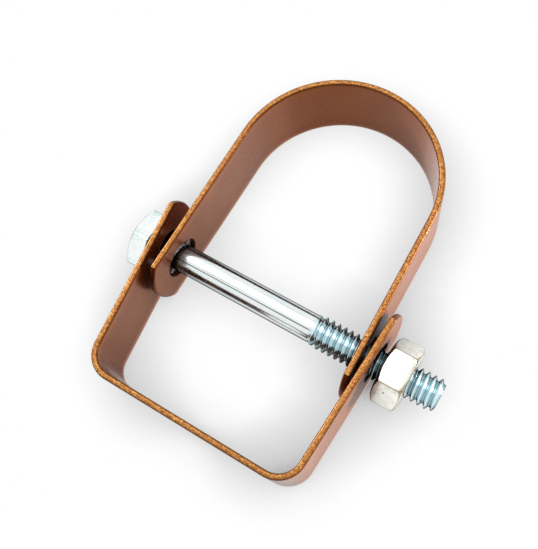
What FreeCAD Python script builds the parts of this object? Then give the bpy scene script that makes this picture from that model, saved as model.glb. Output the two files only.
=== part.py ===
import FreeCAD, Part
import math
import os

# Clevis pipe hanger for 1 1/4 inch copper tube on a 3/8 inch rod, in millimetres and degrees.
# The origin is the centre of the rod hole on the yoke's upper face. Z points up the rod, Y runs along the pipe,
# and X runs along the bolt from the nut to the head.

# Strap
STRAP_WIDTH = 15.9
STRAP_THICKNESS = 1.2
STRAP_EDGE_BREAK = 0.15
EAR_TIP_RADIUS = 12.7

# Yoke, whose leg splays a little more beside the bolt's head than beside the nut
BOLT_DROP = 27.0
YOKE_BEND_RADIUS = 4.15
HEAD_LEG_SPLAY = 5.6
NUT_LEG_SPLAY = 2.7
YOKE_EAR_REACH = 9.4
ROD_HOLE_RADIUS = 5.55

# Cradle
SEAT_RADIUS = 18.8
SEAT_DROP = 25.5
CRADLE_LEG_LEAN = 1.05
CRADLE_EAR_REACH = 8.5
NUT_SIDE_CLEARANCE = 0.25

# Bolt
THREAD_RADIUS = 3.1
THREAD_PITCH = 1.27
THREAD_LENGTH = 25.4
SHANK_RADIUS = 2.7
BOLT_LENGTH = 59.5
BOLT_HOLE_CLEARANCE = 0.8
HEAD_ACROSS_FLATS = 11.1
HEAD_HEIGHT = 3.8
HEAD_TURN = 47.0
HEAD_SLACK = 0.05
HEX_CHAMFER_ANGLE = 30.0

# Nut
NUT_ACROSS_FLATS = 11.1
NUT_THICKNESS = 5.2
NUT_TURN = 26.0
NUT_SLACK = 1.3
NUT_THREAD_CLEARANCE = 0.05
NUT_COUNTERSINK = 0.35

# Sizes that follow from the driving dimensions.
BOLT_HOLE_RADIUS = THREAD_RADIUS + BOLT_HOLE_CLEARANCE
CRADLE_OUTER_RADIUS = SEAT_RADIUS + STRAP_THICKNESS
YOKE_OUTER_BEND = YOKE_BEND_RADIUS + STRAP_THICKNESS
BOLT_AXIS_Z = -BOLT_DROP
SEAT_CENTRE_Z = BOLT_AXIS_Z - SEAT_DROP
HEAD_SIDE = 1
NUT_SIDE = -1
SPARE = 1.0


def vec(x, y, z):
    return FreeCAD.Vector(x, y, z)


def polar(radius, degrees):
    """The point of the XZ plane at this radius and angle, with 90 degrees straight up."""
    angle = math.radians(degrees)
    return vec(radius * math.cos(angle), 0, radius * math.sin(angle))


def on_side(side, point):
    return vec(side * point.x, point.y, point.z)


def rise_per_run(degrees):
    return math.tan(math.radians(degrees))


def splay(side):
    return HEAD_LEG_SPLAY if side == HEAD_SIDE else NUT_LEG_SPLAY


def cradle_half_width(height):
    """Half the width over the cradle's legs, at this height above the bolt's axis."""
    at_seat_centre = CRADLE_OUTER_RADIUS / math.cos(math.radians(CRADLE_LEG_LEAN))
    return at_seat_centre + (SEAT_DROP + height) * rise_per_run(CRADLE_LEG_LEAN)


def yoke_top_half_width():
    """Half the length of the yoke's flat top, from the gap left beside the nut side ear of the cradle."""
    inside_at_ear_tip = cradle_half_width(CRADLE_EAR_REACH) + NUT_SIDE_CLEARANCE
    outside_at_ear_tip = inside_at_ear_tip + STRAP_THICKNESS / math.cos(math.radians(NUT_LEG_SPLAY))
    return outside_at_ear_tip - (BOLT_DROP - CRADLE_EAR_REACH) * rise_per_run(NUT_LEG_SPLAY)


def yoke_reach_at_bolt(side):
    """How far the outer face of this leg of the yoke stands from the middle at the bolt's axis."""
    return yoke_top_half_width() + BOLT_DROP * rise_per_run(splay(side))


def bearing_reach(side, across_flats):
    """How far from the middle a hexagon's face stands when its corner meets the splayed ear on this side."""
    corner = across_flats / 2 / math.cos(math.radians(30))
    return yoke_reach_at_bolt(side) + corner * rise_per_run(splay(side))


def strap(outer, inner):
    """A strap between two lines of edges, its long edges broken as they come from the mill."""
    start = Part.makeLine(inner[0].Vertexes[0].Point, outer[0].Vertexes[0].Point)
    end = Part.makeLine(outer[-1].Vertexes[-1].Point, inner[-1].Vertexes[-1].Point)
    outline = Part.Wire(Part.__sortEdges__(outer + inner + [start, end]))
    face = Part.Face(outline)
    face.translate(vec(0, -STRAP_WIDTH / 2, 0))
    solid = face.extrude(vec(0, STRAP_WIDTH, 0))
    long_edges = [e for e in solid.Edges if abs(e.Vertexes[0].Y - e.Vertexes[-1].Y) < STRAP_WIDTH / 2]
    return solid.makeChamfer(STRAP_EDGE_BREAK, long_edges)


def ear_waste(reach):
    """What is trimmed off an ear that points up, round a bolt hole at the origin."""
    centre = reach - EAR_TIP_RADIUS
    block = Part.makeBox(20, 2 * STRAP_WIDTH, EAR_TIP_RADIUS + 4 * SPARE, vec(-10, -STRAP_WIDTH, centre))
    tip = Part.makeCylinder(EAR_TIP_RADIUS, 20, vec(-10, 0, centre), vec(1, 0, 0))
    return block.cut(tip)


def ear_hole():
    return Part.makeCylinder(BOLT_HOLE_RADIUS, 20, vec(-10, 0, 0), vec(1, 0, 0))


def ear_tools(reach, middle, tilt):
    """The trimming and the bolt hole of one ear, square to a leg tilted from the upright by this angle."""
    place = FreeCAD.Placement(vec(middle, 0, BOLT_AXIS_Z), FreeCAD.Rotation(vec(0, 1, 0), tilt))
    tools = [ear_waste(reach), ear_hole()]
    for tool in tools:
        tool.Placement = place
    return tools


def yoke_leg(side, depth):
    """The foot and the top of one leg's line, and the middle and the end of the bend above it."""
    radius = YOKE_OUTER_BEND - depth
    lean = splay(side)
    centre_x = yoke_top_half_width() + YOKE_OUTER_BEND * rise_per_run(lean)
    centre_x -= YOKE_OUTER_BEND / math.cos(math.radians(lean))
    centre = vec(centre_x, 0, -YOKE_OUTER_BEND)
    leg_top = centre + polar(radius, lean)
    drop = leg_top.z - (BOLT_AXIS_Z - YOKE_EAR_REACH - SPARE)
    leg_foot = leg_top + vec(drop * rise_per_run(lean), 0, -drop)
    bend_middle = centre + polar(radius, (90 + lean) / 2)
    flat_end = centre + polar(radius, 90)
    return [on_side(side, point) for point in (leg_foot, leg_top, bend_middle, flat_end)]


def yoke_line(depth):
    """The yoke's line from one ear to the other, at this depth under its outer face."""
    foot, top, bend, end = yoke_leg(HEAD_SIDE, depth)
    far_foot, far_top, far_bend, far_end = yoke_leg(NUT_SIDE, depth)
    return [
        Part.makeLine(foot, top),
        Part.Arc(top, bend, end).toShape(),
        Part.makeLine(end, far_end),
        Part.Arc(far_end, far_bend, far_top).toShape(),
        Part.makeLine(far_top, far_foot),
    ]


def yoke():
    """One strap folded into an inverted U, with a rod hole in its flat top and a bolt hole in each ear."""
    tools = [Part.makeCylinder(ROD_HOLE_RADIUS, STRAP_THICKNESS + 2 * SPARE, vec(0, 0, -STRAP_THICKNESS - SPARE))]
    for side in (HEAD_SIDE, NUT_SIDE):
        tools += ear_tools(YOKE_EAR_REACH, side * yoke_reach_at_bolt(side), side * (180 - splay(side)))
    return strap(yoke_line(0), yoke_line(STRAP_THICKNESS)).cut(tools)


def cradle_line(depth):
    """The cradle's line from one ear round the seat to the other, at this depth under its outer face."""
    radius = CRADLE_OUTER_RADIUS - depth
    centre = vec(0, 0, SEAT_CENTRE_Z)
    leg_foot = centre + polar(radius, -CRADLE_LEG_LEAN)
    rise = BOLT_AXIS_Z + CRADLE_EAR_REACH + SPARE - leg_foot.z
    leg_top = leg_foot + vec(rise * rise_per_run(CRADLE_LEG_LEAN), 0, rise)
    return [
        Part.makeLine(leg_top, leg_foot),
        Part.Arc(leg_foot, centre + polar(radius, -90), on_side(NUT_SIDE, leg_foot)).toShape(),
        Part.makeLine(on_side(NUT_SIDE, leg_foot), on_side(NUT_SIDE, leg_top)),
    ]


def cradle():
    """One strap bent round the pipe seat, its two legs ending in ears that stand inside the yoke's."""
    tools = []
    for side in (HEAD_SIDE, NUT_SIDE):
        tools += ear_tools(CRADLE_EAR_REACH, side * cradle_half_width(0), side * CRADLE_LEG_LEAN)
    return strap(cradle_line(0), cradle_line(STRAP_THICKNESS)).cut(tools)


def hexagon(across_flats, height, turn, chamfered_ends):
    """A hexagon bar along +X from the origin, its corners chamfered at the far end or at both."""
    corner = across_flats / 2 / math.cos(math.radians(30))
    angles = [math.radians(step * 60 + turn) for step in range(7)]
    points = [vec(0, corner * math.cos(a), corner * math.sin(a)) for a in angles]
    bar = Part.Face(Part.makePolygon(points)).extrude(vec(height, 0, 0))
    face_radius = across_flats / 2 * 0.96
    rim = corner + SPARE
    depth = (rim - face_radius) * rise_per_run(HEX_CHAMFER_ANGLE)
    near = [vec(0, 0, 0), vec(0, 0, rim)]
    if chamfered_ends == 2:
        near = [vec(0, 0, 0), vec(0, 0, face_radius), vec(depth, 0, rim)]
    far = [vec(height - depth, 0, rim), vec(height, 0, face_radius), vec(height, 0, 0), vec(0, 0, 0)]
    envelope = Part.Face(Part.makePolygon(near + far)).revolve(vec(0, 0, 0), vec(1, 0, 0), 360)
    return bar.common(envelope)


def cross_bolt():
    """A hexagon head bolt that points along -X, with a plain shank and a rolled thread."""
    head_face = bearing_reach(HEAD_SIDE, HEAD_ACROSS_FLATS) + HEAD_SLACK
    thread_start = BOLT_LENGTH - THREAD_LENGTH
    root_step = THREAD_RADIUS - SHANK_RADIUS
    points = [
        vec(SPARE, 0, 0),
        vec(SPARE, 0, SHANK_RADIUS),
        vec(-thread_start, 0, SHANK_RADIUS),
        vec(-thread_start - root_step, 0, THREAD_RADIUS),
        vec(-BOLT_LENGTH + THREAD_PITCH, 0, THREAD_RADIUS),
        vec(-BOLT_LENGTH, 0, THREAD_RADIUS - THREAD_PITCH / 2),
        vec(-BOLT_LENGTH, 0, 0),
        vec(SPARE, 0, 0),
    ]
    stem = Part.Face(Part.makePolygon(points)).revolve(vec(0, 0, 0), vec(1, 0, 0), 360)
    bolt = hexagon(HEAD_ACROSS_FLATS, HEAD_HEIGHT, HEAD_TURN, 1).fuse(stem)
    bolt.translate(vec(head_face, 0, BOLT_AXIS_Z))
    return bolt.removeSplitter()


def hex_nut():
    """A hexagon nut chamfered on both faces, run loosely on the bolt's thread."""
    near_face = bearing_reach(NUT_SIDE, NUT_ACROSS_FLATS) + NUT_SLACK
    bore = THREAD_RADIUS + NUT_THREAD_CLEARANCE
    mouth = bore + NUT_COUNTERSINK
    along = vec(1, 0, 0)
    nut = hexagon(NUT_ACROSS_FLATS, NUT_THICKNESS, NUT_TURN, 2)
    hole = Part.makeCylinder(bore, NUT_THICKNESS, vec(0, 0, 0), along)
    near_mouth = Part.makeCone(mouth, bore, NUT_COUNTERSINK, vec(0, 0, 0), along)
    far_mouth = Part.makeCone(bore, mouth, NUT_COUNTERSINK, vec(NUT_THICKNESS - NUT_COUNTERSINK, 0, 0), along)
    nut = nut.cut([hole, near_mouth, far_mouth])
    nut.translate(vec(-near_face - NUT_THICKNESS, 0, BOLT_AXIS_Z))
    return nut


def main():
    os.makedirs("parts", exist_ok=True)
    nodes = {"yoke": yoke(), "cradle": cradle(), "cross_bolt": cross_bolt(), "hex_nut": hex_nut()}
    for name, shape in nodes.items():
        shape.exportStep("parts/" + name + ".step")


main()
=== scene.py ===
import bpy
import math
from mathutils import Matrix, Vector
from mathutils.geometry import delaunay_2d_cdt


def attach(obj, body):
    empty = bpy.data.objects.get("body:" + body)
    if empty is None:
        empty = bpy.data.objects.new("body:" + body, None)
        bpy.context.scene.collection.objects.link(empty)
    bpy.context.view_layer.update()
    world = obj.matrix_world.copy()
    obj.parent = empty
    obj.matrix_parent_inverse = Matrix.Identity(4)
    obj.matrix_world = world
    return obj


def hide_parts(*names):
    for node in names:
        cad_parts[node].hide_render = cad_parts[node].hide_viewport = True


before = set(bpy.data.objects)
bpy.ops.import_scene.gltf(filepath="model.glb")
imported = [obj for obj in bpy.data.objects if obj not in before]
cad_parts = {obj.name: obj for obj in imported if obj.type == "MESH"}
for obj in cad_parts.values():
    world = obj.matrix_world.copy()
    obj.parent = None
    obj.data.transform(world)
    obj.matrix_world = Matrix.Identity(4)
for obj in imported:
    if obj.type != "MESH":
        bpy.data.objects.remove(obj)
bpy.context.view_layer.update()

# A clevis pipe hanger of copper-coloured strap, with a zinc bolt and nut.
# Sizes are in millimetres and degrees unless they say otherwise, and MM turns them into the scene's metres.
MM = 0.001

# Sizes as in the part
STRAP_WIDTH = 15.9
STRAP_THICKNESS = 1.2
EAR_TIP_RADIUS = 12.7
BOLT_DROP = 27.0
YOKE_BEND_RADIUS = 4.15
HEAD_LEG_SPLAY = 5.6
NUT_LEG_SPLAY = 2.7
YOKE_EAR_REACH = 9.4
ROD_HOLE_RADIUS = 5.55
SEAT_RADIUS = 18.8
SEAT_DROP = 25.5
CRADLE_LEG_LEAN = 1.05
CRADLE_EAR_REACH = 8.5
NUT_SIDE_CLEARANCE = 0.25
THREAD_RADIUS = 3.1
THREAD_PITCH = 1.27
THREAD_LENGTH = 25.4
SHANK_RADIUS = 2.7
BOLT_LENGTH = 59.5
BOLT_HOLE_CLEARANCE = 0.8
ACROSS_FLATS = 11.1
HEAD_HEIGHT = 3.8
HEAD_TURN = 47.0
HEAD_SLACK = 0.05
HEX_CHAMFER_ANGLE = 30.0
NUT_THICKNESS = 5.2
NUT_TURN = 26.0
NUT_SLACK = 1.3
NUT_THREAD_CLEARANCE = 0.05

# Finer forms of the straps: the round of their sheared edges, and how close the points of their meshes stand
RIM_RADIUS = 0.45
RIM_STEPS = 6
EAR_STEPS = 40
BOLT_HOLE_STEPS = 64
ROD_HOLE_STEPS = 80
BORDER_STEP = 0.45
GRID_STEP = 0.75
GRID_KEEP_OFF = 0.55 * GRID_STEP
MERGE_DISTANCE = 1e-6
SHARPEST_MITRE = 0.3
# How far a strap's line goes on past the bolt's axis, which has to be more than an ear's reach
TAIL = 14.0

# Finer forms of the bolt and the nut. The phase is where a crest of the thread would cross the +Y side, and
# the share is how much of the width across flats is left inside a hexagon's chamfer.
THREAD_ROOT = 2.355
THREAD_PHASE = -10.79
THREAD_FADE = 1.7
HEX_FACE_SHARE = 0.96
TIP_LAND = 0.1
TIP_RADIUS = 2.44
SPARE_RIDGES = 2
HEAD_ROUNDING = 0.7
NUT_ROUNDING = 0.35
SHANK_RINGS = 8
SHARP_ANGLE = 38.0

# Points numbered up to BEFORE_THREAD or from AFTER_THREAD keep their number all round the bolt.
# Those between them climb by one turn of the thread.
BEFORE_THREAD = -1000
AFTER_THREAD = 10000

# Grain of the coatings, in cells or waves to the metre, and the reach in metres of the shade in narrow places
FLAKES = 4400.0
PORES = 420.0
COPPER_CLOUDS = 160.0
ZINC_GRAIN = 2600.0
ZINC_CLOUDS = 170.0
HEAD_SPECKLES = 1900.0
NUT_CLOUDS = 700.0
COPPER_NARROW = 0.0032
ZINC_NARROW = 0.004

# Marks on the zinc: the angle in radians of the dark lines painted along the shank as reflections, and the
# place of the nut's pit in metres
REFLECTION_LINE_ANGLE = 2.80
NUT_PIT = (-0.02631, -0.00315, -0.02236)

# The floor, in metres: its gap to the strap's edges and half its width, then how far its soft shade reaches
# and the place that the shade is judged from
FLOOR_GAP = 0.0001
FLOOR_HALF = 2.0
SHADE_REACH = 0.015
SHADE_FROM = (-0.03, -0.13, 0.0)

# Lamps, each with its name, place and size in metres, and its power in watts. All look at the target.
LAMP_TARGET = (0, 0, -0.04)
LAMPS = (
    ("key", (0.1, -0.5, -0.16), 0.35, 0.78),
    ("fill", (0.4, -0.2, -0.07), 0.1, 1.2),
    ("table", (-0.22, 0.43, -0.12), 0.25, 0.12),
    ("table_far", (0.16, 0.46, -0.16), 0.16, 0.04),
    ("side", (-0.4, 0.0, -0.22), 0.06, 2.7),
)
WORLD_LIGHT = 0.12

# The camera as fitted to the photograph
CAMERA_PLACE = (-36.209, -136.701, -1.138)
CAMERA_FORWARD = (0.268536, 0.939552, -0.212438)
CAMERA_UP = (0.45165, -0.317603, -0.833751)
CAMERA_LENS = 50.9
CAMERA_SENSOR = 36

WHITE = (1, 1, 1, 1)


def tan_deg(angle):
    return math.tan(math.radians(angle))


def cos_deg(angle):
    return math.cos(math.radians(angle))


def sin_deg(angle):
    return math.sin(math.radians(angle))


def cradle_half(height):
    """Half the width over the cradle's legs, at this height above the bolt's axis."""
    return CRADLE_BEND / cos_deg(CRADLE_LEG_LEAN) + (SEAT_DROP + height) * tan_deg(CRADLE_LEG_LEAN)


def yoke_top_half():
    """Half the length of the yoke's flat top, up to where its legs' outer faces would meet it."""
    inside = cradle_half(CRADLE_EAR_REACH) + NUT_SIDE_CLEARANCE
    outside = inside + STRAP_THICKNESS / cos_deg(NUT_LEG_SPLAY)
    return outside - (BOLT_DROP - CRADLE_EAR_REACH) * tan_deg(NUT_LEG_SPLAY)


def yoke_reach_at_bolt(splay):
    """How far the outer face of a leg of the yoke stands from the middle at the bolt's axis."""
    return yoke_top_half() + BOLT_DROP * tan_deg(splay)


def bearing_reach(splay):
    """How far from the middle a hexagon's face stands when its corner meets the splayed ear."""
    return yoke_reach_at_bolt(splay) + HEX_APOTHEM / cos_deg(30) * tan_deg(splay)


# Sizes that follow from the others
BOLT_Z = -BOLT_DROP
SEAT_Z = BOLT_Z - SEAT_DROP
YOKE_BEND = YOKE_BEND_RADIUS + STRAP_THICKNESS
CRADLE_BEND = SEAT_RADIUS + STRAP_THICKNESS
BOLT_HOLE_RADIUS = THREAD_RADIUS + BOLT_HOLE_CLEARANCE
HEX_APOTHEM = ACROSS_FLATS / 2
HEX_FACE = HEX_FACE_SHARE * HEX_APOTHEM
HEAD_FACE_X = bearing_reach(HEAD_LEG_SPLAY) + HEAD_SLACK
HEAD_TOP_X = HEAD_FACE_X + HEAD_HEIGHT
TIP_X = HEAD_FACE_X - BOLT_LENGTH
THREAD_END_X = TIP_X + THREAD_LENGTH
NUT_NEAR_X = -bearing_reach(NUT_LEG_SPLAY) - NUT_SLACK
NUT_MIDDLE_X = NUT_NEAR_X - NUT_THICKNESS / 2
NUT_BORE = THREAD_RADIUS + NUT_THREAD_CLEARANCE


# A strap is cut flat, with its length along s and its width along y, and then bent along a line of parts.

class Line:
    """A straight part of a strap, whose outer face runs from start to end."""

    def __init__(self, start, end, outward):
        self.start = Vector(start)
        self.run = Vector(end) - self.start
        self.length = self.run.length
        self.outward = Vector(outward).normalized()

    def at(self, s, depth):
        return self.start + self.run * (s / self.length) - self.outward * depth


class Bend:
    """A round part of a strap, whose outer face turns about the centre from the first angle to the last."""

    def __init__(self, centre, radius, first, last):
        self.centre = Vector(centre)
        self.radius = radius
        self.first = first
        self.sweep = last - first
        self.length = abs(math.radians(self.sweep)) * radius

    def at(self, s, depth):
        angle = self.first + self.sweep * s / self.length
        return self.centre + (self.radius - depth) * Vector((cos_deg(angle), sin_deg(angle)))


def bent(parts, s, y, depth):
    """The place in space of a point of the flat strap."""
    for part in parts:
        if s <= part.length or part is parts[-1]:
            spot = part.at(s, depth)
            return Vector((spot.x, y, spot.y)) * MM
        s -= part.length


def yoke_leg(side, splay):
    """The foot and the top of a leg's line, its outward side, and the centre of the bend above it."""
    centre_x = yoke_top_half() + YOKE_BEND * tan_deg(splay) - YOKE_BEND / cos_deg(splay)
    foot_x = yoke_reach_at_bolt(splay) + TAIL * sin_deg(splay)
    outward = Vector((side * cos_deg(splay), sin_deg(splay)))
    centre = Vector((side * centre_x, -YOKE_BEND))
    foot = Vector((side * foot_x, BOLT_Z - TAIL * cos_deg(splay)))
    return foot, centre + outward * YOKE_BEND, outward, centre


def yoke_parts():
    """The yoke's line from the head's ear over the flat top to the nut's ear."""
    foot, top, outward, centre = yoke_leg(1, HEAD_LEG_SPLAY)
    far_foot, far_top, far_outward, far_centre = yoke_leg(-1, NUT_LEG_SPLAY)
    return [
        Line(foot, top, outward),
        Bend(centre, YOKE_BEND, HEAD_LEG_SPLAY, 90),
        Line((centre.x, 0), (far_centre.x, 0), (0, 1)),
        Bend(far_centre, YOKE_BEND, 90, 180 - NUT_LEG_SPLAY),
        Line(far_top, far_foot, far_outward),
    ]


def cradle_parts():
    """The cradle's line from the head's ear round the seat to the nut's ear."""
    outward = Vector((cos_deg(CRADLE_LEG_LEAN), -sin_deg(CRADLE_LEG_LEAN)))
    away = Vector((-outward.x, outward.y))
    low = Vector((CRADLE_BEND * outward.x, SEAT_Z + CRADLE_BEND * outward.y))
    top_x = cradle_half(0) + TAIL * sin_deg(CRADLE_LEG_LEAN)
    top = Vector((top_x, BOLT_Z + TAIL * cos_deg(CRADLE_LEG_LEAN)))
    return [
        Line(top, low, outward),
        Bend((0, SEAT_Z), CRADLE_BEND, -CRADLE_LEG_LEAN, -180 + CRADLE_LEG_LEAN),
        Line((-low.x, low.y), (-top.x, top.y), away),
    ]


def ear_curve(hole_s, toward, reach):
    """The rounded end of an ear, from its edge at +y to its edge at -y."""
    top = math.asin(STRAP_WIDTH / 2 / EAR_TIP_RADIUS)
    points = []
    for i in range(EAR_STEPS + 1):
        angle = top - 2 * top * i / EAR_STEPS
        out = reach - EAR_TIP_RADIUS + EAR_TIP_RADIUS * math.cos(angle)
        points.append((hole_s + toward * out, EAR_TIP_RADIUS * math.sin(angle)))
    return points


def hole(s, radius, steps):
    """A hole in the middle of the strap's width, clockwise."""
    turns = [2 * math.pi * i / steps for i in range(steps)]
    return [(s + radius * math.cos(turn), -radius * math.sin(turn)) for turn in turns]


def offset_inward(loop, distance):
    """Each point of a closed loop, moved square to it into the material on its left."""
    moved = []
    for i, point in enumerate(loop):
        before = Vector(loop[i - 1])
        here = Vector(point)
        after = Vector(loop[(i + 1) % len(loop)])
        first = (here - before).normalized()
        second = (after - here).normalized()
        first_left = Vector((-first.y, first.x))
        second_left = Vector((-second.y, second.x))
        mitre = (first_left + second_left) / max(1.0 + first_left.dot(second_left), SHARPEST_MITRE)
        moved.append(tuple(here + mitre * distance))
    return moved


def rim_profile():
    """The points across a sheared edge, each with its distance inward and its depth under the outer face."""
    profile = []
    for step in range(RIM_STEPS + 1):
        angle = math.pi / 2 * step / RIM_STEPS
        profile.append((RIM_RADIUS * (1 - math.sin(angle)), RIM_RADIUS * (1 - math.cos(angle))))
    return profile + [(inward, STRAP_THICKNESS - depth) for inward, depth in reversed(profile)]


def rims(loops):
    """The rounded edges along the outline and the holes, and the rows of points where they meet the faces."""
    vertices = []
    faces = []
    ends = []
    for loop in loops:
        rows = []
        for inward, depth in rim_profile():
            row = offset_inward(loop, inward)
            rows.append(range(len(vertices), len(vertices) + len(row)))
            vertices += [(s, y, depth) for s, y in row]
        for row, below in zip(rows, rows[1:]):
            for i in range(len(loop)):
                j = (i + 1) % len(loop)
                faces.append((row[i], below[i], below[j], row[j]))
        ends.append((rows[0], rows[-1]))
    return vertices, faces, ends


def face_grid(borders):
    """Points spread over a strap's flat face, in rows and columns that keep off its borders."""
    border_points = [point for border in borders for point in border]
    cells = {}
    for point in border_points:
        cells.setdefault((math.floor(point.x), math.floor(point.y)), []).append(point)
    low = min(point.x for point in border_points)
    high = max(point.x for point in border_points)
    width = STRAP_WIDTH - 2 * RIM_RADIUS
    columns = int((high - low) / GRID_STEP)
    rows = int(width / GRID_STEP)
    spread = []
    for i in range(1, columns):
        for j in range(1, rows):
            spot = Vector((low + (high - low) * i / columns, width * (j / rows - 0.5)))
            column = math.floor(spot.x)
            row = math.floor(spot.y)
            around = [(column + a, row + b) for a in (-1, 0, 1) for b in (-1, 0, 1)]
            close = [point for cell in around for point in cells.get(cell, [])]
            if all((point - spot).length >= GRID_KEEP_OFF for point in close):
                spread.append(spot)
    return spread


def within(point, loop):
    """Whether a point of the flat strap lies inside a loop."""
    inside = False
    x, y = point
    for i in range(len(loop)):
        x1, y1 = loop[i - 1]
        x2, y2 = loop[i]
        if (y1 > y) != (y2 > y) and x < (x2 - x1) * (y - y1) / (y2 - y1) + x1:
            inside = not inside
    return inside


def strap_mesh(name, parts, loops):
    """A bent strap from flat loops: the outline, which runs anticlockwise, and then the holes, clockwise."""
    vertices, faces, ends = rims(loops)
    borders = [[Vector(vertices[i][:2]) for i in outer] for outer, inner in ends]
    on_outer = [i for outer, inner in ends for i in outer]
    on_inner = [i for outer, inner in ends for i in inner]
    border_points = []
    edges = []
    for border in borders:
        first = len(border_points)
        edges += [(first + i, first + (i + 1) % len(border)) for i in range(len(border))]
        border_points += border
    result = delaunay_2d_cdt(border_points + face_grid(borders), edges, [], 0, MERGE_DISTANCE)
    points, triangles, origins = result[0], result[2], result[3]
    here = {}
    there = {}
    for i, point in enumerate(points):
        source = origins[i][0] if origins[i] else -1
        if 0 <= source < len(border_points):
            here[i] = on_outer[source]
            there[i] = on_inner[source]
        else:
            here[i] = len(vertices)
            there[i] = len(vertices) + 1
            vertices += [(point.x, point.y, 0.0), (point.x, point.y, STRAP_THICKNESS)]
    for a, b, c in triangles:
        middle = (points[a] + points[b] + points[c]) / 3
        if within(middle, borders[0]) and not any(within(middle, border) for border in borders[1:]):
            faces.append((here[a], here[b], here[c]))
            faces.append((there[c], there[b], there[a]))
    used = sorted({i for face in faces for i in face})
    number = {old: new for new, old in enumerate(used)}
    places = [bent(parts, *vertices[i]) for i in used]
    mesh = bpy.data.meshes.new(name)
    mesh.from_pydata(places, [], [tuple(number[i] for i in face) for face in faces])
    if parts[0].run.cross(parts[0].outward) < 0:
        mesh.flip_normals()
    return mesh


def strap_piece(name, body, node, parts, reach, rod_holes):
    """A strap along its parts, with an ear and a bolt hole at each end, and rod holes at the places given."""
    first_hole = TAIL
    last_hole = sum(part.length for part in parts) - TAIL
    start = ear_curve(first_hole, -1, reach)
    end = ear_curve(last_hole, 1, reach)
    steps = int((end[0][0] - start[0][0]) / BORDER_STEP)
    run = end[-1][0] - start[-1][0]
    lower = [(start[-1][0] + run * i / steps, -STRAP_WIDTH / 2) for i in range(1, steps)]
    upper = [(s, -y) for s, y in reversed(lower)]
    loops = [start + lower + end[::-1] + upper]
    loops += [hole(s, BOLT_HOLE_RADIUS, BOLT_HOLE_STEPS) for s in (first_hole, last_hole)]
    loops += [hole(s, ROD_HOLE_RADIUS, ROD_HOLE_STEPS) for s in rod_holes]
    return add_piece(name, strap_mesh(name, parts, loops), body, node)


def add_piece(name, mesh, body, node):
    mesh.validate()
    mesh.update()
    mesh.shade_smooth()
    mesh.set_sharp_from_angle(angle=math.radians(SHARP_ANGLE))
    piece = bpy.data.objects.new(name, mesh)
    bpy.context.scene.collection.objects.link(piece)
    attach(piece, body)
    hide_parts(node)
    return piece


# The bolt and the nut are turned round the bolt's axis, with a column of points for each angle from +Y to +Z.

def hex_radius(angle, turn, rounding):
    """The radius of a hexagon with slightly rounded corners, with one corner at the turn."""
    off = abs((angle - turn + 30) % 60 - 30)
    centre = (HEX_APOTHEM - rounding) / cos_deg(30)
    limit = math.degrees(math.atan(rounding * 0.5 / (centre + rounding * cos_deg(30))))
    if off < limit:
        return centre * cos_deg(off) + math.sqrt(rounding ** 2 - (centre * sin_deg(off)) ** 2)
    return HEX_APOTHEM / cos_deg(30 - off)


def hex_angles(turn):
    """Angles for the columns, close together at the hexagon's corners."""
    steps = [0, 0.7, 1.4, 2.2, 3.5, 6, 9.5, 14, 19, 24.5, 30]
    angles = []
    for corner in range(6):
        middle = turn + 60 * corner
        angles += [middle - step for step in reversed(steps[1:-1])]
        angles += [middle + step for step in steps]
    return angles


def thread_ridge():
    """One ridge of the thread, with a flat crest and a rounded root, as distances along with their radii."""
    up = [
        (-0.55, THREAD_ROOT + 0.015),
        (-0.464, THREAD_ROOT + 0.065),
        (-0.1, THREAD_RADIUS - 0.05),
        (-0.045, THREAD_RADIUS),
    ]
    down = [(-offset, radius) for offset, radius in reversed(up)]
    return up + down + [(THREAD_PITCH / 2, THREAD_ROOT)]


def thread_points(angle):
    """The thread's points along one column, numbered along the helix, and how many numbers a turn has."""
    ridge_points = thread_ridge()
    turns = math.ceil(THREAD_LENGTH / THREAD_PITCH)
    points = []
    for ridge in range(-turns - SPARE_RIDGES, SPARE_RIDGES + 1):
        for k, (offset, radius) in enumerate(ridge_points):
            x = THREAD_PHASE + THREAD_PITCH * (ridge + angle / 360) + offset
            if TIP_X + TIP_LAND <= x <= THREAD_END_X:
                fade = min(1.0, (THREAD_END_X - x) / THREAD_FADE)
                radius = SHANK_RADIUS + (radius - SHANK_RADIUS) * fade
                radius = min(radius, TIP_RADIUS + x - TIP_X)
                points.append((ridge * len(ridge_points) + k, x, radius))
    return points, len(ridge_points)


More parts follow.
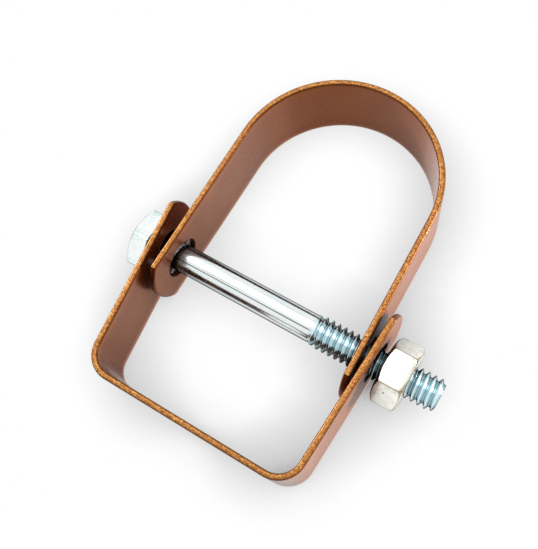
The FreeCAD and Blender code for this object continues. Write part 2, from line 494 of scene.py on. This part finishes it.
def bolt_column(angle):
    """The bolt from the middle of its tip to the middle of its head."""
    wide = hex_radius(angle, HEAD_TURN, HEAD_ROUNDING)
    brink = HEAD_TOP_X - (wide - HEX_FACE) * tan_deg(HEX_CHAMFER_ANGLE)
    threads, shift = thread_points(angle)
    tip = [(TIP_X, 1.1), (TIP_X, 2.1), (TIP_X + 0.02, 2.22), (TIP_X + 0.07, 2.33)]
    run = HEAD_FACE_X - 0.3 - THREAD_END_X
    shank = [(THREAD_END_X + 0.12, SHANK_RADIUS)]
    shank += [(THREAD_END_X + run * k / SHANK_RINGS, SHANK_RADIUS) for k in range(1, SHANK_RINGS + 1)]
    neck = [(HEAD_FACE_X - 0.09, SHANK_RADIUS + 0.05), (HEAD_FACE_X, SHANK_RADIUS + 0.2)]
    under_head = [(HEAD_FACE_X, 4.2), (HEAD_FACE_X, wide - 0.2)]
    side = [
        (HEAD_FACE_X + 0.04, wide - 0.07),
        (HEAD_FACE_X + 0.15, wide),
        (HEAD_FACE_X + 1.5, wide),
        (brink - 0.2, wide),
        (brink - 0.03, wide - 0.05),
        (brink + 0.08, wide - 0.19),
    ]
    top = [
        (HEAD_TOP_X - 0.06, HEX_FACE + 0.06),
        (HEAD_TOP_X - 0.01, HEX_FACE - 0.12),
        (HEAD_TOP_X, HEX_FACE - 0.35),
        (HEAD_TOP_X, 3.4),
        (HEAD_TOP_X, 1.6),
    ]
    first = BEFORE_THREAD - len(tip) + 1
    numbered = [(first + k, x, radius) for k, (x, radius) in enumerate(tip)] + threads
    rest = enumerate(shank + neck + under_head + side + top)
    return numbered + [(AFTER_THREAD + k, x, radius) for k, (x, radius) in rest], shift


def nut_column(angle):
    """The nut from the middle of its bore round both faces and back."""
    wide = hex_radius(angle, NUT_TURN, NUT_ROUNDING)
    half = NUT_THICKNESS / 2
    brink = half - (wide - HEX_FACE) * tan_deg(HEX_CHAMFER_ANGLE)
    side = [
        (half - 0.3, NUT_BORE),
        (half - 0.03, NUT_BORE + 0.27),
        (half, NUT_BORE + 0.4),
        (half, 4.4),
        (half, HEX_FACE - 0.3),
        (half - 0.01, HEX_FACE - 0.1),
        (half - 0.06, HEX_FACE + 0.06),
        (brink + 0.09, wide - 0.17),
        (brink - 0.02, wide - 0.05),
        (brink - 0.17, wide),
        (0.6, wide),
    ]
    points = [(NUT_MIDDLE_X - x, radius) for x, radius in side]
    points += [(NUT_MIDDLE_X + x, radius) for x, radius in reversed(side)]
    return [(k, x, radius) for k, (x, radius) in enumerate(points)], 0


def column_faces(here, beside):
    """The faces between two columns. Points with the same number join, and triangles fill the rest."""
    faces = []
    a = b = 0
    while a < len(here) - 1 or b < len(beside) - 1:
        next_a = here[a + 1][0] if a < len(here) - 1 else math.inf
        next_b = beside[b + 1][0] if b < len(beside) - 1 else math.inf
        if next_a == next_b:
            faces.append((here[a][1], beside[b][1], beside[b + 1][1], here[a + 1][1]))
            a += 1
            b += 1
        elif next_a < next_b:
            faces.append((here[a][1], beside[b][1], here[a + 1][1]))
            a += 1
        else:
            faces.append((here[a][1], beside[b][1], beside[b + 1][1]))
            b += 1
    return faces


def turned_mesh(name, angles, column, closed):
    """A mesh from columns of (number, x, radius), whose ends meet each other if closed, and else the axis."""
    vertices = []
    columns = []
    for angle in angles:
        points, shift = column(angle)
        first = len(vertices)
        columns.append([(number, first + k) for k, (number, x, radius) in enumerate(points)])
        for number, x, radius in points:
            vertices.append(Vector((x, radius * cos_deg(angle), BOLT_Z + radius * sin_deg(angle))) * MM)
    first_end = len(vertices)
    last_end = first_end + 1
    if not closed:
        vertices += [Vector((vertices[columns[0][k][1]].x, 0, BOLT_Z * MM)) for k in (0, -1)]
    start = [(n - shift if BEFORE_THREAD < n < AFTER_THREAD else n, index) for n, index in columns[0]]
    faces = []
    for here, beside in zip(columns, columns[1:] + [start]):
        faces += column_faces(here, beside)
        if closed:
            faces.append((here[-1][1], beside[-1][1], beside[0][1], here[0][1]))
        else:
            faces.append((first_end, beside[0][1], here[0][1]))
            faces.append((last_end, here[-1][1], beside[-1][1]))
    mesh = bpy.data.meshes.new(name)
    mesh.from_pydata(vertices, [], faces)
    return mesh


# Materials

class Nodes:
    """A short way to add and join the nodes of one material or world."""

    def __init__(self, owner):
        owner.use_nodes = True
        self.tree = owner.node_tree

    def add(self, kind, inputs=None, **settings):
        node = self.tree.nodes.new("ShaderNode" + kind)
        for name, value in settings.items():
            setattr(node, name, value)
        for name, value in (inputs or {}).items():
            self.put(node, name, value)
        return node

    def put(self, node, name, value):
        if isinstance(value, bpy.types.NodeSocket):
            self.tree.links.new(value, node.inputs[name])
        else:
            node.inputs[name].default_value = value

    def math(self, operation, first, second=0.0, clamp=False):
        node = self.add("Math", {0: first, 1: second}, operation=operation, use_clamp=clamp)
        return node.outputs["Value"]

    def vector_math(self, operation, first, second=(0, 0, 0)):
        return self.add("VectorMath", {0: first, 1: second}, operation=operation).outputs

    def noise(self, place, scale, detail=2, roughness=0.5):
        inputs = {"Vector": place, "Scale": scale, "Detail": detail, "Roughness": roughness}
        return self.add("TexNoise", inputs).outputs["Fac"]

    def cells(self, place, scale):
        return self.add("TexVoronoi", {"Vector": place, "Scale": scale}, feature="F1").outputs

    def channel(self, colour, name):
        return self.add("SeparateColor", {"Color": colour}).outputs[name]

    def span(self, value, low, high, start=0.0, end=1.0):
        """From start to end while the value goes from low to high, and level beyond them."""
        inputs = {"Value": value, "From Min": low, "From Max": high, "To Min": start, "To Max": end}
        return self.add("MapRange", inputs).outputs["Result"]

    def ramp(self, value, stops):
        """A colour, or a grey where the stops hold one number each, that follows the value."""
        node = self.add("ValToRGB", {"Fac": value})
        points = node.color_ramp.elements
        while len(points) < len(stops):
            points.new(0.5)
        for point, (position, colour) in zip(points, stops):
            point.position = position
            point.color = (colour, colour, colour, 1) if isinstance(colour, float) else (*colour, 1)
        return node.outputs["Color"]

    def blend(self, amount, first, second, mode="MIX"):
        """A mix of two colours. Blender finds the Mix node's colour sockets by number: 6 and 7 in, 2 out."""
        node = self.add("Mix", {0: amount, 6: first, 7: second}, data_type="RGBA", blend_type=mode)
        return node.outputs[2]

    def times(self, first, second):
        return self.blend(1.0, first, second, "MULTIPLY")

    def open_sky(self, reach):
        return self.add("AmbientOcclusion", {"Distance": reach}, samples=8).outputs["AO"]

    def bump(self, height, strength, distance):
        inputs = {"Height": height, "Strength": strength, "Distance": distance}
        return self.add("Bump", inputs).outputs["Normal"]

    def about_bolt(self, place):
        """How far a place is along the bolt, its angle round the bolt and its distance from the axis."""
        parts = self.add("SeparateXYZ", {"Vector": place}).outputs
        up = self.math("ADD", parts["Z"], BOLT_DROP * MM)
        across = self.add("CombineXYZ", {"Y": parts["Y"], "Z": up}).outputs["Vector"]
        radius = self.vector_math("LENGTH", across)["Value"]
        return parts["X"], self.math("ARCTAN2", up, parts["Y"]), radius


def copper_colour(n, place, broad, glint, sheared, sideways):
    """Brown copper on the rolled faces with painted shade in narrow places, grainy sheared edges with painted
    glints, and a painted shade line on the rounded rims between.
    """
    tint = n.ramp(broad, [(0.3, (0.40, 0.102, 0.014)), (0.7, (0.46, 0.127, 0.019))])
    fleck = n.ramp(glint, [(0.0, (0.88, 0.86, 0.84)), (1.0, (1.0, 1.0, 1.0))])
    # Partly the sheared edges' own grain and partly painted light: lighter and more golden than the faces,
    # with painted glints at the brightest flecks.
    grain_and_painted_glints = n.ramp(glint, [
        (0.0, (0.27, 0.095, 0.02)),
        (0.3, (0.44, 0.175, 0.042)),
        (0.8, (0.62, 0.26, 0.066)),
        (1.0, (0.9, 0.44, 0.14)),
    ])
    # Painted shade: a darker line where the rounded rims turn between the faces and the sheared edges.
    corner = n.ramp(sideways, [(0.1, 1.0), (0.35, 0.38), (0.75, 0.55), (0.99, 1.0)])
    colour = n.times(n.blend(sheared, n.times(tint, fleck), grain_and_painted_glints), corner)
    # Painted shade: the colour darkens where little open sky is within reach, in gaps and close to other
    # parts. The sheared edges are left out of it.
    narrow = [(0.05, (0.14, 0.06, 0.035)), (0.24, (0.62, 0.44, 0.35)), (0.5, (1.0, 1.0, 1.0))]
    painted_shade = n.ramp(n.open_sky(COPPER_NARROW), narrow)
    cells = n.cells(place, PORES)
    size = n.span(n.channel(cells["Color"], "Green"), 0.72, 1.0, 0.0, 0.07)
    clear = n.math("SUBTRACT", cells["Distance"], size)
    pores = n.ramp(clear, [(0.0, (0.3, 0.3, 0.3)), (0.03, (1.0, 1.0, 1.0))])
    return n.blend(sheared, n.times(n.times(colour, painted_shade), pores), colour)


def copper():
    """A metallic copper coat: satin on the faces, grainy with painted glints on the sheared edges, painted
    dark and without gloss in the bolt holes as shade, and painted darker where it is seen in reflections.
    """
    material = bpy.data.materials.new("copper_epoxy")
    n = Nodes(material)
    shader = n.tree.nodes["Principled BSDF"]
    coordinates = n.add("TexCoord").outputs
    place = coordinates["Object"]
    glint = n.channel(n.cells(place, FLAKES)["Color"], "Red")
    broad = n.noise(place, COPPER_CLOUDS, 3)
    normal = n.add("SeparateXYZ", {"Vector": coordinates["Normal"]}).outputs
    sideways = n.math("ABSOLUTE", normal["Y"])
    sheared = n.span(sideways, 0.6, 0.92)
    radius = n.about_bolt(place)[2]
    outside = n.span(radius, (BOLT_HOLE_RADIUS + 0.18) * MM, (BOLT_HOLE_RADIUS + 0.3) * MM)
    colour = copper_colour(n, place, broad, glint, sheared, sideways)
    # Painted shade: the walls of the bolt holes are painted nearly black, and the lines below take away their
    # gloss there.
    colour = n.blend(outside, (0.06, 0.022, 0.01, 1), colour)
    # Painted dark reflection: copper seen in glossy rays is painted a dull dark brown, so the bright metal
    # mirrors it dark rather than too red.
    painted_shade_in_reflections = n.math("MULTIPLY", n.add("LightPath").outputs["Is Glossy Ray"], 0.8)
    n.put(shader, "Base Color", n.blend(painted_shade_in_reflections, colour, (0.10, 0.05, 0.034, 1)))
    n.put(shader, "Metallic", n.ramp(sheared, [(0.0, 0.32), (1.0, 0.35)]))
    n.put(shader, "Specular IOR Level", n.ramp(outside, [(0.0, 0.0), (1.0, 0.1)]))
    n.put(shader, "Roughness", n.ramp(glint, [(0.0, 0.26), (1.0, 0.36)]))
    n.put(shader, "Normal", n.bump(glint, n.span(sheared, 0.0, 1.0, 0.02, 0.35), 0.00006))
    grazing = n.add("LayerWeight", {"Blend": 0.5}).outputs["Facing"]
    sheen = n.ramp(grazing, [(0.7, 0.18), (0.92, 0.6)])
    n.put(shader, "Coat Weight", n.math("MULTIPLY", outside, sheen))
    n.put(shader, "Coat IOR", 1.2)
    n.put(shader, "Coat Roughness", n.ramp(broad, [(0.3, 0.05), (0.7, 0.12)]))
    return material


def bolt_look(n, place, fine, open_sky):
    """The bolt's colour, surface and shade: bluish thread painted darker at the roots, drawn shank with dark
    reflection lines painted along it, speckled head.
    """
    along, turn, radius = n.about_bolt(place)
    before_head = n.span(along, (HEAD_FACE_X + 0.3) * MM, (HEAD_FACE_X + 0.2) * MM)
    slim = n.span(radius, (SHANK_RADIUS + 0.15) * MM, (SHANK_RADIUS + 0.05) * MM)
    on_shank = n.math("MULTIPLY", slim, before_head)

    flat = n.add("CombineXYZ", {"X": n.math("MULTIPLY", along, 3.0), "Y": turn}).outputs["Vector"]
    streaks = n.noise(flat, 5.0, 5, 0.75)
    wavering = n.math("ADD", turn, n.math("MULTIPLY", streaks, 0.1))
    # Painted reflection: thin dark lines along the shank, one every 60 degrees from REFLECTION_LINE_ANGLE,
    # waved by the streaks.
    beside = n.math("PINGPONG", n.math("SUBTRACT", wavering, REFLECTION_LINE_ANGLE), math.pi / 6)
    painted_reflection_lines = n.ramp(n.math("MULTIPLY", beside, 10.0), [(0.1, 0.12), (0.6, 1.0)])
    lines = n.times(n.ramp(streaks, [(0.36, 0.25), (0.41, 1.0)]), painted_reflection_lines)

    on_rim = n.span(radius, 5.3 * MM, 6.2 * MM)
    specks = n.noise(place, HEAD_SPECKLES, 3)
    speckles = n.ramp(specks, [(0.42, (0.95, 0.97, 0.96)), (0.6, (0.66, 0.84, 0.84))])
    head = n.blend(on_rim, (0.93, 0.96, 0.95, 1), speckles)
    stem = n.ramp(n.noise(place, ZINC_CLOUDS, 3), [(0.35, (0.78, 0.85, 0.86)), (0.7, (0.88, 0.90, 0.88))])
    colour = n.blend(before_head, head, stem)
    colour = n.blend(on_shank, colour, n.times(colour, lines))

    # The thread's bluish tint, with painted shade: darker towards the roots of the grooves.
    height = n.span(radius, THREAD_ROOT * MM, THREAD_RADIUS * MM)
    bluish = [(0.0, (0.42, 0.58, 0.64)), (0.4, (0.60, 0.80, 0.85)), (0.95, (0.80, 0.92, 0.95))]
    groove_shade_and_tint = n.ramp(height, bluish)
    on_thread = n.span(along, (THREAD_END_X + 0.4) * MM, (THREAD_END_X - 0.6) * MM)
    colour = n.blend(on_thread, colour, groove_shade_and_tint)

    # Painted shade: on the last stretch of the shank before the head, the shade in narrow places is deeper.
    last_stretch = n.span(along, (HEAD_FACE_X - 8) * MM, (HEAD_FACE_X - 5) * MM)
    near_head = n.math("MULTIPLY", last_stretch, before_head)
    painted_shade = n.ramp(open_sky, [(0.15, 0.15), (0.55, 1.0)])
    painted_shade = n.blend(near_head, painted_shade, n.ramp(open_sky, [(0.5, 0.05), (0.85, 1.0)]))
    return colour, n.blend(on_shank, fine, streaks), painted_shade


def nut_look(n, place, fine, open_sky):
    """The nut's colour, surface and shade: mottled, painted brown at the corners and the chamfers as shade
    and dark reflection, with a pit.
    """
    along, turn, radius = n.about_bolt(place)
    clouds = n.noise(place, NUT_CLOUDS, 5, 0.65)
    mottled = [(0.3, (0.62, 0.58, 0.47)), (0.43, (0.88, 0.87, 0.80)), (0.6, (0.97, 0.96, 0.88))]
    colour = n.ramp(clouds, mottled)

    to_corner = n.math("PINGPONG", n.math("SUBTRACT", turn, math.radians(NUT_TURN)), math.pi / 6)
    from_middle = n.math("ABSOLUTE", n.math("SUBTRACT", along, NUT_MIDDLE_X * MM))
    cone = n.math("MULTIPLY", n.math("SUBTRACT", radius, HEX_FACE * MM), tan_deg(HEX_CHAMFER_ANGLE))
    to_chamfer = n.math("SUBTRACT", NUT_THICKNESS / 2 * MM, n.math("ADD", from_middle, cone))
    # Painted shade and dark reflection: the sides darken brown towards the hexagon's corners and its
    # chamfers.
    painted_dark_edge = [(0.0, (0.42, 0.36, 0.27)), (1.0, (1.0, 1.0, 1.0))]
    corner_painted_shade = n.ramp(n.math("MULTIPLY", to_corner, 22.0), painted_dark_edge)
    chamfer_painted_shade = n.ramp(n.math("MULTIPLY", to_chamfer, 5000.0), painted_dark_edge)
    on_side = n.ramp(n.math("MULTIPLY", radius, 100.0), [(0.537, 0.0), (0.542, 1.0)])
    colour = n.blend(on_side, colour, n.times(colour, n.times(corner_painted_shade, chamfer_painted_shade)))

    from_pit = n.vector_math("DISTANCE", place, NUT_PIT)["Value"]
    pit = n.ramp(n.math("MULTIPLY", from_pit, 2000.0), [(0.25, (0.25, 0.22, 0.18)), (0.6, (1.0, 1.0, 1.0))])
    # The last of these is painted shade for narrow places.
    return n.times(colour, pit), fine, n.ramp(open_sky, [(0.15, 0.15), (0.55, 1.0)])


def zinc(name, look, specular_tint):
    """Bright zinc plate, dressed by the piece's own look."""
    material = bpy.data.materials.new(name)
    n = Nodes(material)
    shader = n.tree.nodes["Principled BSDF"]
    place = n.add("TexCoord").outputs["Object"]
    fine = n.noise(place, ZINC_GRAIN)
    # Each look gives back its colour, its bump pattern and its painted shade for narrow places, which darkens
    # the colour.
    colour, surface, painted_shade = look(n, place, fine, n.open_sky(ZINC_NARROW))
    n.put(shader, "Base Color", n.times(colour, painted_shade))
    n.put(shader, "Metallic", 1.0)
    n.put(shader, "Specular Tint", specular_tint)
    n.put(shader, "Roughness", n.ramp(fine, [(0.3, 0.12), (0.7, 0.24)]))
    n.put(shader, "Normal", n.bump(surface, 0.06, 0.0001))
    return material


def floor_white():
    """A clear floor with a painted shadow: tinted grey close round the object, and a little darker still
    where metal mirrors it.
    """
    material = bpy.data.materials.new("floor_white")
    n = Nodes(material)
    n.tree.nodes.clear()
    place = n.add("TexCoord").outputs["Object"]
    toward = n.vector_math("SUBTRACT", SHADE_FROM, place)["Vector"]
    aim = n.vector_math("NORMALIZE", toward)["Vector"]
    shade = n.add("AmbientOcclusion", {"Distance": SHADE_REACH, "Normal": aim}, samples=16).outputs["AO"]
    # Painted shadow: the grey comes from how much open sky each spot of the floor has toward SHADE_FROM, not
    # from the lamps.
    seen = n.ramp(shade, [(0.2, 0.02), (0.36, 0.6), (0.6, 0.77), (0.86, 1.0)])
    painted_shade_in_reflections = n.ramp(shade, [(0.05, 0.05), (0.35, 0.34), (0.6, 0.55), (0.88, 1.0)])
    path = n.add("LightPath").outputs
    tint = n.blend(path["Is Camera Ray"], painted_shade_in_reflections, seen)
    # Lamps shine through it untinted, and so do rays that have come under 0.5 mm. From 2 mm the tint is full.
    travelled = n.span(path["Ray Length"], 0.0005, 0.002)
    tinted = n.math("SUBTRACT", travelled, path["Is Shadow Ray"], clamp=True)
    clear = n.add("BsdfTransparent", {"Color": n.blend(tinted, WHITE, tint)})
    n.add("OutputMaterial", {"Surface": clear.outputs["BSDF"]})
    return material


def halo_floor():
    """The plain surface the hanger lies on. It shows only the soft shade close round the object."""
    y = STRAP_WIDTH / 2 * MM + FLOOR_GAP
    r = FLOOR_HALF
    mesh = bpy.data.meshes.new("floor")
    mesh.from_pydata([(-r, y, -r), (r, y, -r), (r, y, r), (-r, y, r)], [], [(0, 1, 2, 3)])
    mesh.materials.append(floor_white())
    floor = bpy.data.objects.new("floor", mesh)
    bpy.context.scene.collection.objects.link(floor)


def world_light():
    """A white surround, which lights the object only faintly."""
    world = bpy.data.worlds.new("studio")
    bpy.context.scene.world = world
    n = Nodes(world)
    n.tree.nodes.clear()
    path = n.add("LightPath").outputs
    shown = n.math("MAXIMUM", path["Is Camera Ray"], path["Is Glossy Ray"])
    shown = n.math("MAXIMUM", shown, path["Is Transmission Ray"])
    lit = n.add("Background", {"Color": WHITE, "Strength": WORLD_LIGHT}).outputs["Background"]
    seen = n.add("Background", {"Color": WHITE, "Strength": 1.0}).outputs["Background"]
    mix = n.add("MixShader", {"Fac": shown, 1: lit, 2: seen})
    n.add("OutputWorld", {"Surface": mix.outputs["Shader"]})


def area_light(name, place, size, power):
    light = bpy.data.lights.new(name, "AREA")
    light.shape = "SQUARE"
    light.size = size
    light.energy = power
    lamp = bpy.data.objects.new(name, light)
    bpy.context.scene.collection.objects.link(lamp)
    lamp.location = place
    lamp.rotation_mode = "QUATERNION"
    lamp.rotation_quaternion = (Vector(LAMP_TARGET) - Vector(place)).to_track_quat("-Z", "Y")


def camera():
    data = bpy.data.cameras.new("camera")
    data.sensor_width = CAMERA_SENSOR
    data.lens = CAMERA_LENS
    data.clip_start = 0.005
    data.clip_end = 10
    eye = bpy.data.objects.new("camera", data)
    bpy.context.scene.collection.objects.link(eye)
    forward = Vector(CAMERA_FORWARD).normalized()
    up = Vector(CAMERA_UP)
    up = (up - forward * up.dot(forward)).normalized()
    turn = Matrix((forward.cross(up), up, -forward)).transposed()
    eye.matrix_world = Matrix.Translation(Vector(CAMERA_PLACE) * MM) @ turn.to_4x4()
    bpy.context.scene.camera = eye


# The rod hole is where the yoke's flat top crosses the middle.
yoke_line = yoke_parts()
rod_hole_s = yoke_line[0].length + yoke_line[1].length + yoke_line[2].start.x
yoke = strap_piece("yoke_strap", "yoke", "yoke", yoke_line, YOKE_EAR_REACH, [rod_hole_s])
cradle = strap_piece("cradle_strap", "cradle", "cradle", cradle_parts(), CRADLE_EAR_REACH, [])
bolt_mesh = turned_mesh("bolt_with_thread", hex_angles(HEAD_TURN), bolt_column, False)
bolt = add_piece("bolt_with_thread", bolt_mesh, "bolt", "cross_bolt")
nut_mesh = turned_mesh("nut_with_chamfers", hex_angles(NUT_TURN), nut_column, True)
nut = add_piece("nut_with_chamfers", nut_mesh, "nut", "hex_nut")

copper_epoxy = copper()
for piece, material, slot in (
    (yoke, copper_epoxy, "copper_epoxy"),
    (cradle, copper_epoxy, "copper_epoxy"),
    (bolt, zinc("zinc_bolt", bolt_look, (0.04, 0.05, 0.05, 1)), "zinc_plate"),
    (nut, zinc("zinc_nut", nut_look, WHITE), "zinc_plate"),
):
    piece.data.materials.append(material)

halo_floor()
world_light()
for name, place, size, power in LAMPS:
    area_light(name, place, size, power)
camera()
bpy.context.scene.view_settings.view_transform = "Standard"
